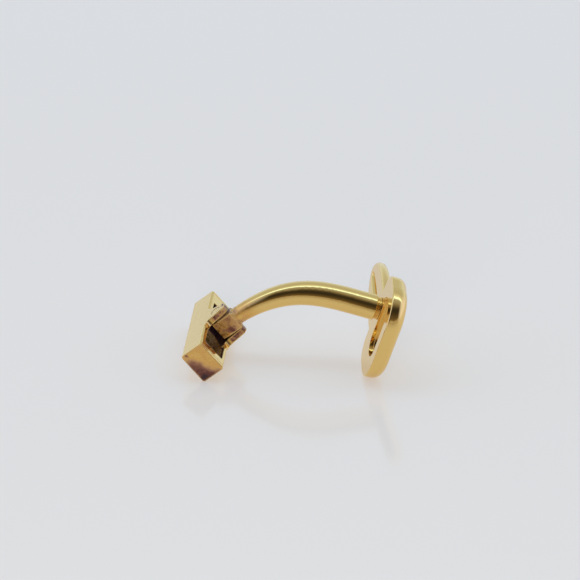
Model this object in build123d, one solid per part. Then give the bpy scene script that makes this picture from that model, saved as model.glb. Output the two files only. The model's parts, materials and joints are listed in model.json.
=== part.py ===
"""Cufflink with a padlock-shaped head, an arched post and a swivel bar toggle.

Millimetres. The floor is the XY plane, +Z is up, and the cufflink lies on it on
the lower corner of its padlock and on one long edge of its bar.
"""
import os
from collections import namedtuple
from math import cos, radians, sin

from build123d import *

# How the pieces lie: spans between the lower corners of bar and padlock, and the angles of both
SPAN = 17.66
STAGGER = -1.565
BAR_YAW = 5.257
BAR_ROLL = 39.862
HEAD_YAW = 2.922
HEAD_LEAN = 17.068
HEAD_ROLL = 4.728
TOGGLE_TURN = 1.05

# Bar
BAR_LENGTH = 12.74
BAR_WIDTH = 3.97
BAR_DEPTH = 2.93
BAR_EDGE = 0.28
BAR_END_EDGE = 0.11
SEAM_FROM_END = 0.42
SEAM_WIDTH = 0.09
SEAM_DEPTH = 0.07
CHANNEL_WALL = 0.55
CHANNEL_NEAR_END = 1.35
CHANNEL_FAR_END = 2.20
CHANNEL_DEPTH = 2.1
CHANNEL_CORNER = 0.25
EAR_THICKNESS = 0.70
EAR_HEIGHT = 2.50
EAR_TOP = 1.30
EAR_CROWN = 0.26
EAR_FOOT = 3.80
EAR_SWEEP = 0.60
EAR_SWEEP_LENGTH = 0.75

# Hinge
PIN_RADIUS = 0.55
PIN_LIFT = 1.20
PIN_RECESS = 0.03
PIN_FIT = 0.015
PIN_RUN = 0.04

# Block at the hinge end of the post
BLOCK_WIDTH = 2.16
BLOCK_THICKNESS = 2.10
BLOCK_BELOW = 1.08
BLOCK_ABOVE = 1.75
BLOCK_BEVEL = 0.16
BLOCK_BEVEL_LENGTH = 0.66
BLOCK_TOP_BEVEL = 0.25
BLOCK_FAR_BEVEL = 0.90

# Post: shares of its reach along and its rise across the hinge's first direction, and of its radius
POST_END_RADIUS = 1.45
Station = namedtuple("Station", "along across radius")
POST_STATIONS = (
    Station(0.082, 0.000, 0.669),
    Station(0.249, 0.015, 0.738),
    Station(0.483, 0.114, 0.869),
    Station(0.634, 0.256, 0.938),
    Station(0.770, 0.471, 0.979),
    Station(0.887, 0.731, 0.993),
)

# Neck and the spigot that plugs into the padlock
NECK_RADIUS = 1.30
NECK_LENGTH = 0.55
NECK_RINGS = 2
NECK_GROOVE = 0.10
SPIGOT_RADIUS = 0.80
SPIGOT_LENGTH = 0.90
SPIGOT_FIT = 0.02
SEAT_GAP = 0.02
POST_SEAT = (6.37, 6.76)

# Padlock: "up" runs from its base to the shackle, "across" over its width
BODY_UP = 7.45
BODY_ACROSS = 11.54
BODY_THICKNESS = 1.95
BASE_CORNER = 3.60
SHOULDER_CORNER = 2.20
BACK_EDGE = 0.20
FRONT_EDGE = 1.25
RECESS_LOW = 1.55
RECESS_HIGH = 4.85
RECESS_START = 2.60
RECESS_END = 9.70
RECESS_DEPTH = 0.50
SHACKLE_HALF_WIDTH = 2.92
SHACKLE_HEIGHT = 9.12
SHACKLE_STRAIGHT = 1.66
SHACKLE_GAP = 0.90
SHACKLE_TIP = 1.40
SHACKLE_THICKNESS = 1.06
SHACKLE_BACK_EDGE = 0.50
SHACKLE_FRONT_EDGE = 0.45
SHACKLE_GAP_EDGE = 0.45
SHACKLE_ROOT = 1.00

# How far the cutting shapes reach past what they cut
OVERCUT = 1.0


def blend(first, second, angle):
    """Unit vector turned from first towards second by an angle in degrees."""
    return first * cos(radians(angle)) + second * sin(radians(angle))


def bar_frame():
    """Frame at the bar's lower corner: X through its depth, Y over its width, Z along it."""
    length_way = Vector(sin(radians(BAR_YAW)), cos(radians(BAR_YAW)), 0)
    level = Vector(cos(radians(BAR_YAW)), -sin(radians(BAR_YAW)), 0)
    depth_way = blend(level, Vector(0, 0, 1), BAR_ROLL)
    roll = radians(BAR_ROLL)
    sunk = BAR_EDGE * (sin(roll) + cos(roll) - 1)
    return Plane(origin=(0, 0, -sunk), x_dir=depth_way, z_dir=length_way)


def head_frame(height):
    """Frame at the padlock's corner: X is its up, Y its across, Z from back to front."""
    far = Vector(-sin(radians(HEAD_YAW)), cos(radians(HEAD_YAW)), 0)
    level = Vector(cos(radians(HEAD_YAW)), sin(radians(HEAD_YAW)), 0)
    upright = blend(Vector(0, 0, 1), level, HEAD_LEAN)
    front = blend(level, Vector(0, 0, -1), HEAD_LEAN)
    corner = (SPAN, STAGGER, height)
    return Plane(origin=corner, x_dir=blend(far, upright, HEAD_ROLL), z_dir=front)


def hinge_frame(bar):
    """Frame at the pin's middle: X along the post, Y along the pin, Z beside the post."""
    middle = bar.from_local_coords((BAR_DEPTH + PIN_LIFT, -BAR_WIDTH / 2, BAR_LENGTH / 2))
    along = blend(bar.x_dir, bar.z_dir * -1, TOGGLE_TURN)
    beside = blend(bar.z_dir, bar.x_dir, TOGGLE_TURN)
    return Plane(origin=middle, x_dir=along, z_dir=beside)


def box_between(low, high):
    """Box from its low corner to its high corner."""
    size = [b - a for a, b in zip(low, high)]
    centre = [(a + b) / 2 for a, b in zip(low, high)]
    return Pos(*centre) * Box(*size)


def ear(outer_y, inner_y):
    """One ear in the bar's frame: a swept foot, a straight rise and a rounded crown."""
    top = BAR_DEPTH + EAR_HEIGHT
    root = BAR_DEPTH - CHANNEL_WALL
    foot = EAR_FOOT / 2
    shoulder = (top - EAR_CROWN, EAR_TOP / 2)
    swept = (BAR_DEPTH + EAR_SWEEP, foot - EAR_SWEEP_LENGTH)
    rise = (shoulder[0] - swept[0], shoulder[1] - swept[1])
    across = Plane(origin=(0, outer_y, BAR_LENGTH / 2), x_dir=(1, 0, 0), z_dir=(0, -1, 0))
    with BuildSketch(across) as outline:
        with BuildLine():
            Polyline((root, 0), (root, foot), (BAR_DEPTH, foot))
            Spline((BAR_DEPTH, foot), swept, tangents=((0, -1), rise))
            Line(swept, shoulder)
            ThreePointArc(shoulder, (top, 0), (shoulder[0], -shoulder[1]))
            Line((shoulder[0], -shoulder[1]), (swept[0], -swept[1]))
            Spline((swept[0], -swept[1]), (BAR_DEPTH, -foot), tangents=((-rise[0], rise[1]), (0, -1)))
            Polyline((BAR_DEPTH, -foot), (root, -foot), (root, 0))
        make_face()
    return extrude(outline.sketch, amount=outer_y - inner_y)


def make_bar(bar):
    """Channel bar with closed ends, two ears and the pin's holes."""
    solid = box_between((0, -BAR_WIDTH, 0), (BAR_DEPTH, 0, BAR_LENGTH))
    solid = fillet(solid.edges().filter_by(Axis.Z), BAR_EDGE)
    for end in (0, -1):
        solid = fillet(solid.faces().sort_by(Axis.Z)[end].edges(), BAR_END_EDGE)
    channel = box_between(
        (BAR_DEPTH - CHANNEL_DEPTH, -BAR_WIDTH + CHANNEL_WALL, CHANNEL_NEAR_END),
        (BAR_DEPTH + OVERCUT, -CHANNEL_WALL, BAR_LENGTH - CHANNEL_FAR_END),
    )
    channel = fillet(channel.edges().filter_by(Axis.X), CHANNEL_CORNER)
    solid -= channel
    for seam in (SEAM_FROM_END, BAR_LENGTH - SEAM_FROM_END):
        low = (BAR_DEPTH - SEAM_DEPTH, -BAR_WIDTH - OVERCUT, seam - SEAM_WIDTH / 2)
        solid -= box_between(low, (BAR_DEPTH + OVERCUT, OVERCUT, seam + SEAM_WIDTH / 2))
    solid += ear(0, -EAR_THICKNESS)
    solid += ear(-BAR_WIDTH + EAR_THICKNESS, -BAR_WIDTH)
    hole = Cylinder(PIN_RADIUS + PIN_FIT, BAR_WIDTH + OVERCUT, rotation=(90, 0, 0))
    solid -= Pos(BAR_DEPTH + PIN_LIFT, -BAR_WIDTH / 2, BAR_LENGTH / 2) * hole
    return bar.location * solid


def make_pin(hinge):
    """Round pin through both ears and the block."""
    pin = Cylinder(PIN_RADIUS, BAR_WIDTH - 2 * PIN_RECESS, rotation=(90, 0, 0))
    return hinge.location * pin


def post_seat(head):
    """Where the arch of the post ends, at the outer end of its neck."""
    return head.from_local_coords((POST_SEAT[0], POST_SEAT[1], -NECK_LENGTH))


def make_arch(hinge, head):
    """Arched round post from the hinge to its seat, square onto the back of the padlock."""
    end = hinge.to_local_coords(post_seat(head))
    points = [hinge.from_local_coords((row.along * end.X, row.across * end.Y, 0)) for row in POST_STATIONS]
    path = Spline(*points, post_seat(head), tangents=(hinge.x_dir, head.z_dir))
    places = [path.param_at_point(point) for point in points] + [1]
    radii = [row.radius * POST_END_RADIUS for row in POST_STATIONS] + [POST_END_RADIUS]
    sections = []
    for place, radius in zip(places, radii):
        middle = path.position_at(place)
        section = Plane(origin=middle, x_dir=hinge.z_dir, z_dir=path.tangent_at(place))
        sections.append(section * Circle(radius))
    return loft(sections)


def make_block():
    """Block that turns on the pin, in the hinge's frame, bevelled to its end and into the post."""
    block = box_between(
        (-BLOCK_BELOW, -BLOCK_WIDTH / 2, -BLOCK_THICKNESS / 2),
        (BLOCK_ABOVE, BLOCK_WIDTH / 2, BLOCK_THICKNESS / 2),
    )
    end_face = block.faces().sort_by(Axis.X)[0]
    block = chamfer(end_face.edges().filter_by(Axis.Y), BLOCK_BEVEL, BLOCK_BEVEL_LENGTH, reference=end_face)
    top_edges = block.faces().sort_by(Axis.X)[-1].edges()
    block = chamfer(top_edges.sort_by(Axis.Z)[-1], BLOCK_FAR_BEVEL)
    top_edges = block.faces().sort_by(Axis.X)[-1].edges()
    return chamfer(top_edges.sort_by(Axis.Z)[:-1], BLOCK_TOP_BEVEL)


def make_neck():
    """Grooved neck and spigot on the Z axis, with the back of the padlock at zero."""
    neck = box_cylinder(NECK_RADIUS, -NECK_LENGTH, -SEAT_GAP)
    pitch = (NECK_LENGTH - SEAT_GAP) / (NECK_RINGS + 0.5)
    for ring in range(NECK_RINGS):
        low = -NECK_LENGTH + pitch * (ring + 0.5)
        groove = box_cylinder(NECK_RADIUS + OVERCUT, low, low + pitch / 2)
        neck -= groove - box_cylinder(NECK_RADIUS - NECK_GROOVE, low, low + pitch / 2)
    return neck + box_cylinder(SPIGOT_RADIUS, -NECK_LENGTH, SPIGOT_LENGTH)


def make_post(hinge, head):
    """Block, arched post, neck and spigot in one piece."""
    hole = Cylinder(PIN_RADIUS + PIN_RUN, BLOCK_WIDTH + OVERCUT, rotation=(90, 0, 0))
    post = make_arch(hinge, head) + hinge.location * make_block()
    post -= hinge.location * hole
    return post + head.location * (Pos(*POST_SEAT, 0) * make_neck())


def box_cylinder(radius, low, high):
    """Upright cylinder on the Z axis between two heights."""
    return Pos(0, 0, (low + high) / 2) * Cylinder(radius, high - low)


def shackle_outline(half_width, straight, rise):
    """Flat U of the shackle: straight legs under half an ellipse."""
    start = BODY_UP - SHACKLE_ROOT
    spring = BODY_UP + straight
    with BuildSketch() as outline:
        with Locations((spring, 0)):
            Ellipse(rise, half_width)
        with Locations(((start + spring) / 2, 0)):
            Rectangle(spring - start, 2 * half_width)
        with Locations((spring - rise / 2 - straight - SHACKLE_ROOT, 0)):
            Rectangle(rise, 2 * half_width + OVERCUT, mode=Mode.SUBTRACT)
    return outline.sketch


def bow_edges(shackle, face, side):
    """Edges of the bow on one flat face: round its outside (1) or its opening (-1)."""
    rim = shackle.faces().sort_by(Axis.Z)[face].edges()
    above = rim.filter_by(lambda edge: edge.center().X > BODY_UP)
    split = (SHACKLE_GAP / 2 + SHACKLE_HALF_WIDTH) / 2
    return above.filter_by(lambda edge: side * (abs(edge.position_at(0).Y) - split) > 0)


def make_shackle():
    """Flat shackle with a narrow opening, its middle line on the X axis."""
    rise = SHACKLE_HEIGHT - SHACKLE_STRAIGHT
    bow = shackle_outline(SHACKLE_HALF_WIDTH, SHACKLE_STRAIGHT, rise)
    bow -= shackle_outline(SHACKLE_GAP / 2, SHACKLE_STRAIGHT, rise - SHACKLE_TIP)
    shackle = extrude(bow, amount=SHACKLE_THICKNESS)
    for face, edge in ((0, SHACKLE_BACK_EDGE), (-1, SHACKLE_FRONT_EDGE)):
        shackle = fillet(bow_edges(shackle, face, 1), edge)
        shackle = fillet(bow_edges(shackle, face, -1), SHACKLE_GAP_EDGE)
    return shackle


def make_padlock():
    """Padlock body with its shackle, a recess and the post's hole in the back."""
    with BuildSketch() as outline:
        with Locations((BODY_UP / 2, BODY_ACROSS / 2)):
            Rectangle(BODY_UP, BODY_ACROSS)
        fillet(outline.vertices().group_by(Axis.X)[-1], SHOULDER_CORNER)
        fillet(outline.vertices().group_by(Axis.X)[0], BASE_CORNER)
    body = extrude(outline.sketch, amount=BODY_THICKNESS)
    body = fillet(body.faces().sort_by(Axis.Z)[0].edges(), BACK_EDGE)
    body = fillet(body.faces().sort_by(Axis.Z)[-1].edges(), FRONT_EDGE)
    body += Pos(0, BODY_ACROSS / 2, 0) * make_shackle()
    with BuildSketch() as slot:
        with Locations(((RECESS_LOW + RECESS_HIGH) / 2, (RECESS_START + RECESS_END) / 2)):
            SlotOverall(RECESS_END - RECESS_START, RECESS_HIGH - RECESS_LOW, rotation=90)
    body -= extrude(slot.sketch, amount=RECESS_DEPTH)
    hole = box_cylinder(SPIGOT_RADIUS + SPIGOT_FIT, -OVERCUT, SPIGOT_LENGTH + SEAT_GAP)
    return body - Pos(*POST_SEAT, 0) * hole


def one_solid(shape):
    """The single solid of a shape."""
    solids = shape.solids()
    if len(solids) != 1:
        raise ValueError(f"expected one solid, found {len(solids)}")
    return solids[0]


def main():
    bar = bar_frame()
    hinge = hinge_frame(bar)
    padlock = make_padlock()
    lowest = (head_frame(0).location * padlock).bounding_box().min.Z
    head = head_frame(-lowest)
    pieces = {
        "padlock": head.location * padlock,
        "post": make_post(hinge, head),
        "toggle_bar": make_bar(bar),
        "hinge_pin": make_pin(hinge),
    }
    pieces = {name: one_solid(shape) for name, shape in pieces.items()}
    boxes = [shape.bounding_box() for shape in pieces.values()]
    centre_x = (min(box.min.X for box in boxes) + max(box.max.X for box in boxes)) / 2
    centre_y = (min(box.min.Y for box in boxes) + max(box.max.Y for box in boxes)) / 2
    home = Pos(-centre_x, -centre_y, 0)
    pin = hinge.origin + home.position
    print("moved by", -centre_x, -centre_y, "pin", tuple(pin), "axis", tuple(hinge.y_dir))
    os.makedirs("parts", exist_ok=True)
    for name, shape in pieces.items():
        placed = shape.moved(home)
        box = placed.bounding_box()
        print(name, round(placed.volume, 3), placed.center(), box.min, box.max)
        export_step(placed, f"parts/{name}.step")


main()
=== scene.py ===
import json
from math import cos, pi, radians, sin

import bpy
from mathutils import Matrix, Vector

# Padlock cufflink lying on a glossy opal sheet in a light tent with an open, dark front.
# The CAD pieces keep their shapes, and this script gives them their finish.

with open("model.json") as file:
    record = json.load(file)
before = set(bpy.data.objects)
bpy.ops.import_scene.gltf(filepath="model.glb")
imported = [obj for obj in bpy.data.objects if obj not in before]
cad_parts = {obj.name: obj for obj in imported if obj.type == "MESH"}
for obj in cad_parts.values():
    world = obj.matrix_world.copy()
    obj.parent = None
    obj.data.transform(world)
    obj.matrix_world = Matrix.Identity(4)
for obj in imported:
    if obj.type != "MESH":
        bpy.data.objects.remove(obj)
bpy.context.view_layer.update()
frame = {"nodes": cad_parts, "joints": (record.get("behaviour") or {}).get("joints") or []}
nodes = frame["nodes"]
mm = 0.001
print("frame loaded:", sorted(nodes))


# Helpers

def linearFromHex(hexColour):
    # sRGB hex to linear RGBA
    channels = [int(hexColour[i:i + 2], 16) / 255 for i in (0, 2, 4)]
    linear = [c / 12.92 if c <= 0.04045 else ((c + 0.055) / 1.055) ** 2.4 for c in channels]
    return (*linear, 1.0)


def addNode(tree, kind, settings=None, inputs=None):
    # one node with its settings, its input values and its incoming links
    node = tree.nodes.new(kind)
    for name, value in (settings or {}).items():
        setattr(node, name, value)
    for name, value in (inputs or {}).items():
        socket = node.inputs[name]
        if isinstance(value, bpy.types.NodeSocket):
            tree.links.new(value, socket)
        else:
            socket.default_value = value
    return node


def newMaterial(name):
    material = bpy.data.materials.new(name)
    material.use_nodes = True
    return material


# Camera and light

photoView = {
    "aim": (-0.4641 * mm, 15.6117 * mm, 0.0),
    "distance": 450 * mm,
    "elevation": 27.8,    # degrees above the sheet
    "lens": 240.2,
    "sensor": 36,
}


def placeCamera(view):
    tilt = radians(view["elevation"])
    camera = bpy.data.objects.new("photoCamera", bpy.data.cameras.new("photoCamera"))
    bpy.context.scene.collection.objects.link(camera)
    camera.location = Vector(view["aim"]) + view["distance"] * Vector((0, -cos(tilt), sin(tilt)))
    camera.rotation_euler = (pi / 2 - tilt, 0, 0)
    camera.data.lens = view["lens"]
    camera.data.sensor_width = view["sensor"]
    camera.data.clip_start = 0.01
    bpy.context.scene.camera = camera


placeCamera(photoView)

tent = {
    "sideLight": (0.95, 1.02, 1.50),
    "sideStart": 0.66,    # how far sideways the front and back walls reach
    "sideEnd": 0.97,
    "greenShare": 0.45,   # how much of the blue tint the green takes along
    # degrees up from the camera's horizon, over the top and down to the back: brightness, blue
    "wall": (
        (0, 0.54, 0.80), (3, 0.32, 0.66), (7, 0.18, 0.55), (13, 0.13, 0.50), (22, 0.092, 0.55),
        (31, 0.056, 0.60), (41, 0.040, 0.80), (49, 0.054, 0.88), (56, 0.12, 0.80), (63, 0.22, 0.85),
        (72, 0.35, 1.05), (84, 0.43, 1.25), (89, 0.56, 1.4), (91, 1.2, 1.7), (93, 1.35, 2.1),
        (98, 1.35, 2.1), (100, 1.15, 1.6), (103, 0.86, 1.4), (112, 0.65, 1.3), (122, 0.54, 1.3),
        (150, 0.61, 1.35), (166, 0.73, 1.45), (180, 0.79, 1.5),
    ),
}


def lightTent(look):
    # the walls change from front to back, and both sides are plain and bright
    world = bpy.data.worlds.new("lightTent")
    bpy.context.scene.world = world
    world.use_nodes = True
    tree = world.node_tree
    tree.nodes.clear()
    place = addNode(tree, "ShaderNodeTexCoord")
    split = addNode(tree, "ShaderNodeSeparateXYZ", inputs={0: place.outputs["Generated"]})
    forward = addNode(tree, "ShaderNodeMath", {"operation": "MULTIPLY"}, {0: split.outputs["Y"], 1: -1.0})
    turn = addNode(tree, "ShaderNodeMath", {"operation": "ARCTAN2"},
                   {0: split.outputs["Z"], 1: forward.outputs[0]})
    share = addNode(tree, "ShaderNodeMath", {"operation": "DIVIDE"}, {0: turn.outputs[0], 1: pi})
    wall = addNode(tree, "ShaderNodeValToRGB", inputs={"Fac": share.outputs[0]})
    stops = wall.color_ramp.elements
    for index, (angle, light, blue) in enumerate(look["wall"]):
        stop = stops[index] if index < 2 else stops.new(angle / 180)
        stop.position = angle / 180
        green = 1 + look["greenShare"] * (blue - 1)
        stop.color = (light, light * green, light * blue, 1)
    sideways = addNode(tree, "ShaderNodeMath", {"operation": "ABSOLUTE"}, {0: split.outputs["X"]})
    side = addNode(tree, "ShaderNodeMapRange", {"interpolation_type": "SMOOTHSTEP"},
                   {"Value": sideways.outputs[0], "From Min": look["sideStart"], "From Max": look["sideEnd"]})
    mix = addNode(tree, "ShaderNodeMix", {"data_type": "RGBA"},
                  {"Factor": side.outputs[0], 6: wall.outputs["Color"], 7: (*look["sideLight"], 1)})
    glow = addNode(tree, "ShaderNodeBackground", inputs={"Color": mix.outputs[2], "Strength": 1.0})
    addNode(tree, "ShaderNodeOutputWorld", inputs={"Surface": glow.outputs[0]})


lightTent(tent)

fillCard = {
    "place": (-0.06, -0.43, 0.13),    # metres
    "size": 0.24,
    "power": 0.8,
    "colour": "fff4e6",
}


def hangFillCard(look):
    # lit card beside the camera that lifts the matt tarnish and is kept out of the reflections
    light = bpy.data.objects.new("fillCard", bpy.data.lights.new("fillCard", "AREA"))
    bpy.context.scene.collection.objects.link(light)
    light.location = look["place"]
    light.rotation_euler = (-light.location).to_track_quat("-Z", "Y").to_euler()
    light.data.shape = "SQUARE"
    light.data.size = look["size"]
    light.data.energy = look["power"]
    light.data.color = linearFromHex(look["colour"])[:3]
    light.visible_glossy = False


hangFillCard(fillCard)

sheet = {
    "colour": "bab6ae",
    "glow": "fff9f4",
    "glowStrength": 0.408,
    "roughness": 0.12,
    "size": 1.6,          # metres
}


def acrylicSheetOpal(look):
    # opal acrylic, cast and glossy, lit through from below: pale, with a faint mirror image
    material = newMaterial("acrylicSheetOpal")
    shader = material.node_tree.nodes["Principled BSDF"]
    shader.inputs["Base Color"].default_value = linearFromHex(look["colour"])
    shader.inputs["Specular IOR Level"].default_value = 0.0
    shader.inputs["Coat Weight"].default_value = 1.0
    shader.inputs["Coat Roughness"].default_value = look["roughness"]
    shader.inputs["Coat IOR"].default_value = 1.49
    shader.inputs["Emission Color"].default_value = linearFromHex(look["glow"])
    shader.inputs["Emission Strength"].default_value = look["glowStrength"]
    return material


def layFloor(look):
    bpy.ops.mesh.primitive_plane_add(size=look["size"], location=(0, 0, 0))
    floor = bpy.context.object
    floor.name = "acrylicSheet"
    floor.data.materials.append(acrylicSheetOpal(look))


layFloor(sheet)
bpy.context.scene.view_settings.view_transform = "Standard"
print("light tent, sheet and camera ready")


# Places on the toggle and the post, in mm from the middle of the hinge pin:
# X out of the bar along the post, Y along the pin, Z along the bar.

pin = frame["joints"][0]
pinWay = Vector(pin["axis"]).normalized()
barWay = Vector((0, 0, 1)).cross(pinWay).normalized()
postWay = pinWay.cross(barWay)
hingeTurn = Matrix((postWay, pinWay, barWay))

hinge = {
    "barEnd": -6.37,      # the end towards the camera
    "barTop": -1.20,      # the open side of the bar, which carries the ears
    "channelFloor": -3.30,
    "barBottom": -4.13,
    "side": 1.985,
    "wall": 0.55,
    "pinRadius": 0.55,
}


def hingePlace(tree):
    place = addNode(tree, "ShaderNodeTexCoord")
    shift = -(hingeTurn @ Vector(pin["pos_m"])) / mm
    return addNode(tree, "ShaderNodeMapping", inputs={
        "Vector": place.outputs["Object"], "Location": shift, "Rotation": hingeTurn.to_euler(),
        "Scale": (1 / mm,) * 3}).outputs[0]


def stretchPlace(tree, place, scale):
    return addNode(tree, "ShaderNodeVectorMath", {"operation": "MULTIPLY"}, {0: place, 1: scale}).outputs[0]


def fade(tree, value, start, end, low=0.0, high=1.0):
    # smooth change from low to high while the value goes from start to end
    return addNode(tree, "ShaderNodeMapRange", {"interpolation_type": "SMOOTHSTEP"}, {
        "Value": value, "From Min": start, "From Max": end, "To Min": low, "To Max": high}).outputs[0]


def joinMasks(tree, how, *masks):
    # masks multiplied or added, or the largest of them
    joined = masks[0]
    for mask in masks[1:]:
        joined = addNode(tree, "ShaderNodeMath", {"operation": how}, {0: joined, 1: mask}).outputs[0]
    return joined


def spot(tree, place, centre, radius):
    # round stain with a soft rim
    away = addNode(tree, "ShaderNodeVectorMath", {"operation": "DISTANCE"}, {0: place, 1: centre})
    return fade(tree, away.outputs["Value"], radius, radius * 0.45)


def blotches(tree, place, size, detail=3.0):
    # cloudy noise with patches of about this size in mm
    return addNode(tree, "ShaderNodeTexNoise", inputs={
        "Vector": place, "Scale": 1 / size, "Detail": detail, "Roughness": 0.6}).outputs[0]


# Metal

gilt = {
    "polish": 0.022,                    # roughness where it is buffed
    "worn": 0.06,                       # and where handling has dulled it
    "wornPatch": 1.4,                   # mm
    "tarnishedRoughness": 0.34,
    "tarnishedMetallic": 0.18,
    "dullFilm": (0.20, 0.90),           # film over which the gloss goes
    "coverFilm": (0.12, 0.42),          # film over which the metal is covered
    "edge": 0.10 * mm,                  # how far the wear rounds a sharp edge
    "rubbedEdge": 0.28 * mm,            # how far from an edge handling has rubbed the film
    "rubbed": 0.0,                      # share of the film left there
    "waveSize": 2.2,                    # mm between the soft waves that buffing leaves
    "waveDepth": 0.004 * mm,
    "hairsPerMm": (2.0, 22.0, 22.0),    # hairline scratches, coarser than the real ones
    "hairDepth": 0.0006 * mm,
    # colours of the film, from a trace to a thick one; the thickest also paints the shade in the toggle's
    # channel
    "film": ((0.0, "edc97c"), (0.25, "dfae60"), (0.45, "bf955f"), (0.62, "9a6b4e"), (0.78, "65352a"),
             (1.0, "2e1b22")),
}


def rubAtEdges(tree, look, film):
    # near an edge the bevelled normal leaves the surface's own, and the film is rubbed off there
    own = addNode(tree, "ShaderNodeNewGeometry").outputs["Normal"]
    nearEdge = addNode(tree, "ShaderNodeBevel", {"samples": 6}, {"Radius": look["rubbedEdge"]})
    level = addNode(tree, "ShaderNodeVectorMath", {"operation": "DOT_PRODUCT"},
                    {0: nearEdge.outputs[0], 1: own}).outputs["Value"]
    return joinMasks(tree, "MULTIPLY", film, fade(tree, level, 0.99, 0.92, 1.0, look["rubbed"]))


def buffedNormal(tree, look, place):
    rounded = addNode(tree, "ShaderNodeBevel", {"samples": 6}, {"Radius": look["edge"]})
    waves = blotches(tree, place, look["waveSize"], 1.0)
    hairs = blotches(tree, stretchPlace(tree, place, look["hairsPerMm"]), 1.0, 2.0)
    wavy = addNode(tree, "ShaderNodeBump", inputs={
        "Height": waves, "Distance": look["waveDepth"], "Normal": rounded.outputs[0]})
    return addNode(tree, "ShaderNodeBump", inputs={
        "Height": hairs, "Distance": look["hairDepth"], "Normal": wavy.outputs[0]}).outputs[0]


def giltShader(material, look, place, film, sheltered=0.0):
    # film is its thickness from 0 to 1, painted shade included, and sheltered is the part of it that fingers
    # never reach
    tree = material.node_tree
    shader = tree.nodes["Principled BSDF"]
    tree.links.new(buffedNormal(tree, look, place), shader.inputs["Normal"])
    handling = blotches(tree, place, look["wornPatch"])
    roughness = fade(tree, handling, 0.42, 0.72, look["polish"], look["worn"])
    dulled = fade(tree, film, *look["dullFilm"], 0.0, look["tarnishedRoughness"])
    tree.links.new(joinMasks(tree, "ADD", roughness, dulled), shader.inputs["Roughness"])
    covered = fade(tree, film, *look["coverFilm"], 1.0, look["tarnishedMetallic"])
    tree.links.new(covered, shader.inputs["Metallic"])
    filmLeft = joinMasks(tree, "MAXIMUM", rubAtEdges(tree, look, film), sheltered)
    ramp = addNode(tree, "ShaderNodeValToRGB", inputs={"Fac": filmLeft})
    stops = ramp.color_ramp.elements
    for index, (thickness, colour) in enumerate(look["film"]):
        stop = stops[index] if index < 2 else stops.new(thickness)
        stop.position = thickness
        stop.color = linearFromHex(colour)
    tree.links.new(ramp.outputs["Color"], shader.inputs["Base Color"])
    return material


padlockLook = {
    "specks": 0.30,       # film thickness at the few dull specks
    "speckSize": 0.45,    # mm
    "speckLevel": 0.70,   # the higher, the fewer specks
}


def giltBrassPolished(look):
    # thin yellow gold over brass, buffed: deep mirror reflections with a few dull specks
    material = newMaterial("giltBrassPolished")
    tree = material.node_tree
    place = stretchPlace(tree, addNode(tree, "ShaderNodeTexCoord").outputs["Object"], (1 / mm,) * 3)
    grain = blotches(tree, place, look["speckSize"])
    film = fade(tree, grain, look["speckLevel"], look["speckLevel"] + 0.08, 0.0, look["specks"])
    return giltShader(material, gilt, place, film)


postLook = {
    "block": 0.59,                  # film thickness
    "neck": 0.26,                   # film thickness just past the block
    "lowStrip": 0.65,               # share of the block's film on its low end
    "blotchDepth": 0.34,
    "blotchSize": 0.85,             # mm
    # mm along the post from the pin
    "lowStripEnds": (-0.3, 0.4),
    "blockEnds": (1.3, 2.3),
    "patchesEnd": (1.3, 4.0),
    "cleanFrom": 5.2,
}


def giltBrassBlotched(look):
    # gilt post that went brown and purple where it turns in the bar, and stays bright further up
    material = newMaterial("giltBrassBlotched")
    tree = material.node_tree
    place = hingePlace(tree)
    along = addNode(tree, "ShaderNodeSeparateXYZ", inputs={0: place}).outputs["X"]
    grain = blotches(tree, place, look["blotchSize"])
    patches = fade(tree, grain, 0.40, 0.66, -look["blotchDepth"] / 2, look["blotchDepth"] / 2)
    base = joinMasks(
        tree, "MULTIPLY",
        fade(tree, along, *look["blockEnds"], look["block"], look["neck"]),
        fade(tree, along, look["blockEnds"][1], look["cleanFrom"], 1.0, 0.0),
        fade(tree, along, *look["lowStripEnds"], look["lowStrip"], 1.0))
    spread = joinMasks(tree, "MULTIPLY", patches, fade(tree, along, *look["patchesEnd"], 1.0, 0.0))
    film = joinMasks(tree, "MAXIMUM", joinMasks(tree, "ADD", base, spread), 0.0)
    return giltShader(material, gilt, place, film)


toggleLook = {
    # film thickness
    "outside": 0.03,
    "endFace": 0.22,
    "corner": 0.60,
    "channel": 0.43,
    # painted shade: a near-black film under the block and along the channel's rim
    "paintedShade": 0.97,
    "leftEar": 0.58,
    "rightEar": 0.74,
    "crown": 0.95,
    "ring": 0.92,
    "ringFront": 0.35,                # on the ring's side towards the camera
    "mottle": 0.22,                   # up and down
    # sizes in mm
    "cornerReach": (2.5, 3.4),        # the dark corner along both edges of the end
    "channelEnds": (-5.17, 4.32),
    "paintedShadeSlope": 0.35,                # how the painted shade's border leans along the bar
    "paintedShadeUnder": (-2.62, -2.27),      # that border, under the block
    "paintedShadeRim": (-1.7, -1.5),          # and the one below the channel's rim
    "shelteredFrom": (0.25, 0.55),    # below the bar's top
    "earFrom": (0.45, 0.85),          # above the bar's top
    "ringWidth": 0.14,
    "blotchSize": 0.50,
    "cloudSize": 1.3,
    "driftSize": 0.625,
    # round stains on the end: place, radius, film thickness
    "endSpots": (((-3.03, -1.16), 0.34, 0.42), ((-1.55, 2.40), 0.30, 0.40), ((-3.10, 1.90), 0.80, 0.66)),
}


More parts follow.
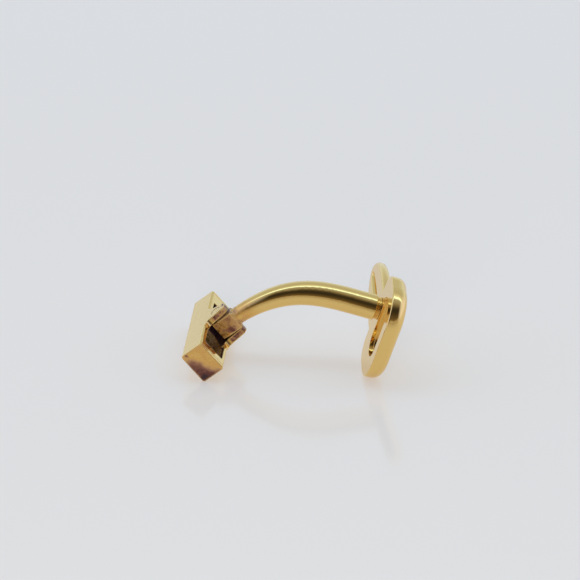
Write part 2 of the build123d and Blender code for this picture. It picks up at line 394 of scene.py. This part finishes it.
def endTarnish(tree, look, place, along):
    # orange end with a purple-brown corner and a few round stains
    onEnd = fade(tree, along, hinge["barEnd"] + 0.10, hinge["barEnd"] + 0.03)
    reachX, reachY = look["cornerReach"]
    corner = addNode(tree, "ShaderNodeVectorMath", {"operation": "SUBTRACT"},
                     {0: place, 1: (hinge["barBottom"], hinge["side"], 0)})
    line = addNode(tree, "ShaderNodeVectorMath", {"operation": "DOT_PRODUCT"},
                   {0: corner.outputs[0], 1: (1 / reachX, -1 / reachY, 0)}).outputs["Value"]
    clouds = blotches(tree, place, look["cloudSize"], 4.0)
    ragged = joinMasks(tree, "ADD", line, fade(tree, clouds, 0.3, 0.7, -0.28, 0.28))
    darkCorner = fade(tree, ragged, 1.38, 0.60, 0.0, look["corner"])
    # the noise pushes the spots out of round and by about half a mm, which their places allow for
    drift = addNode(tree, "ShaderNodeTexNoise",
                    inputs={"Vector": place, "Scale": 1 / look["driftSize"], "Detail": 3.0})
    pushed = addNode(tree, "ShaderNodeVectorMath", {"operation": "MULTIPLY_ADD"},
                     {0: drift.outputs["Color"], 1: (1.0, 1.0, 0.0), 2: place}).outputs[0]
    spots = [
        joinMasks(tree, "MULTIPLY", spot(tree, pushed, (*middle, hinge["barEnd"]), radius), thickness)
        for middle, radius, thickness in look["endSpots"]]
    tint = fade(tree, clouds, 0.35, 0.65, look["endFace"] - 0.10, look["endFace"] + 0.10)
    stains = joinMasks(tree, "MAXIMUM", darkCorner, *spots)
    return joinMasks(tree, "MULTIPLY", joinMasks(tree, "ADD", stains, tint), onEnd)


def channelTarnishAndPaintedShade(tree, look, place, outward, beside, along, mottle):
    # brown tarnish inside, and painted shade, nearly black, under the block and along the rim
    wallInside = hinge["side"] - hinge["wall"]
    start, end = look["channelEnds"]
    inside = joinMasks(
        tree, "MULTIPLY",
        fade(tree, beside, wallInside + 0.08, wallInside + 0.03),
        fade(tree, outward, hinge["barTop"] - 0.02, hinge["barTop"] - 0.10),
        fade(tree, outward, hinge["channelFloor"] - 0.15, hinge["channelFloor"] - 0.05),
        fade(tree, along, start - 0.05, start + 0.05),
        fade(tree, along, end + 0.05, end - 0.05))
    # painted shade: the film goes nearly black under the block and along the channel's rim, where shade falls
    slant = addNode(tree, "ShaderNodeVectorMath", {"operation": "DOT_PRODUCT"},
                    {0: place, 1: (1, 0, look["paintedShadeSlope"])}).outputs["Value"]
    paintedShade = joinMasks(
        tree, "MAXIMUM", fade(tree, slant, *look["paintedShadeUnder"]), fade(tree, outward, *look["paintedShadeRim"]))
    return joinMasks(
        tree, "MULTIPLY", inside, joinMasks(
            tree, "MAXIMUM", joinMasks(tree, "ADD", mottle, look["channel"]),
            joinMasks(tree, "MULTIPLY", paintedShade, look["paintedShade"])))


def earTarnish(tree, look, outward, across, beside, along, mottle):
    # brown tops on both ears, and a blue-black crown on the left one
    start, end = look["earFrom"]
    tops = joinMasks(
        tree, "MULTIPLY",
        fade(tree, outward, hinge["barTop"] + start, hinge["barTop"] + end),
        fade(tree, beside, hinge["side"] - 0.03, hinge["side"] - 0.10),
        joinMasks(tree, "ADD", mottle, fade(tree, across, -1.0, 1.0, look["leftEar"], look["rightEar"])))
    crown = joinMasks(
        tree, "MULTIPLY", fade(tree, outward, 0.75, 1.05), fade(tree, along, -0.35, 0.15),
        fade(tree, across, 1.2, 0.9, 0.0, look["crown"]))
    return joinMasks(tree, "MAXIMUM", tops, crown)


def pinRing(tree, look, place, along):
    # dark line where the pin's end meets the ear
    fromPin = addNode(tree, "ShaderNodeVectorMath", {"operation": "LENGTH"},
                      {0: stretchPlace(tree, place, (1, 0, 1))}).outputs["Value"]
    return joinMasks(
        tree, "MULTIPLY",
        fade(tree, fromPin, hinge["pinRadius"] - look["ringWidth"], hinge["pinRadius"]),
        fade(tree, fromPin, hinge["pinRadius"] + look["ringWidth"], hinge["pinRadius"] + 0.03),
        fade(tree, along, 0.0, 0.3, look["ringFront"], look["ring"]))


def giltBrassTarnishedWithPaintedShade(look):
    # gilt bar with sulphide film: orange end, purple-brown corner, dark channel and hinge, with painted shade
    # in the channel under the block and along its rim
    material = newMaterial("giltBrassTarnishedWithPaintedShade")
    tree = material.node_tree
    place = hingePlace(tree)
    split = addNode(tree, "ShaderNodeSeparateXYZ", inputs={0: place})
    outward, across, along = (split.outputs[axis] for axis in ("X", "Y", "Z"))
    beside = addNode(tree, "ShaderNodeMath", {"operation": "ABSOLUTE"}, {0: across}).outputs[0]
    grain = blotches(tree, place, look["blotchSize"])
    mottle = fade(tree, grain, 0.35, 0.68, -look["mottle"], look["mottle"])
    channel = channelTarnishAndPaintedShade(tree, look, place, outward, beside, along, mottle)
    film = joinMasks(
        tree, "MAXIMUM",
        fade(tree, grain, 0.45, 0.75, look["outside"], look["outside"] + 0.12),
        endTarnish(tree, look, place, along), channel,
        earTarnish(tree, look, outward, across, beside, along, mottle),
        pinRing(tree, look, place, along))
    shallow, deep = look["shelteredFrom"]
    sheltered = joinMasks(
        tree, "MULTIPLY", channel, fade(tree, outward, hinge["barTop"] - shallow, hinge["barTop"] - deep))
    return giltShader(material, gilt, place, film, sheltered)


finishes = {
    "padlock": giltBrassPolished(padlockLook),
    "post": giltBrassBlotched(postLook),
    "toggle_bar": giltBrassTarnishedWithPaintedShade(toggleLook),
}
finishes["hinge_pin"] = finishes["toggle_bar"]
for name, node in nodes.items():
    node.data.materials.clear()
    node.data.materials.append(finishes[name])
print("finishes applied")
